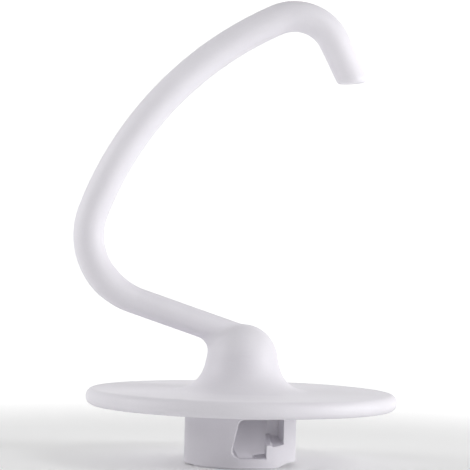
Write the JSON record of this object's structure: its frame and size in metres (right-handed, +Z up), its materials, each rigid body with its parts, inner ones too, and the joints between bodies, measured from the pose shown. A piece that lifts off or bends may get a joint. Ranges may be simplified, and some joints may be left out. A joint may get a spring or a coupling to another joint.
{
  "type": "stand mixer dough hook",
  "caption": "White coated C-shaped dough hook for a stand mixer: a bent round rod on a domed neck, a round guard disc, and a drive collar with a shaft bore and a pin window.",
  "frame": {"origin": "on the shaft axis, in the plane of the collar's rim, which is the face it stands on", "axes": "+Z up along the shaft axis from the collar to the hook, +X towards the hook's tip, -Y is the side of the pin window"},
  "size_m": [0.1134, 0.1076, 0.1608],
  "materials": {
    "white_coating": "smooth semi-gloss white coating on cast aluminium"
  },
  "bodies": {
    "root": {"dough_hook": "white_coating"}
  },
  "joints": []
}
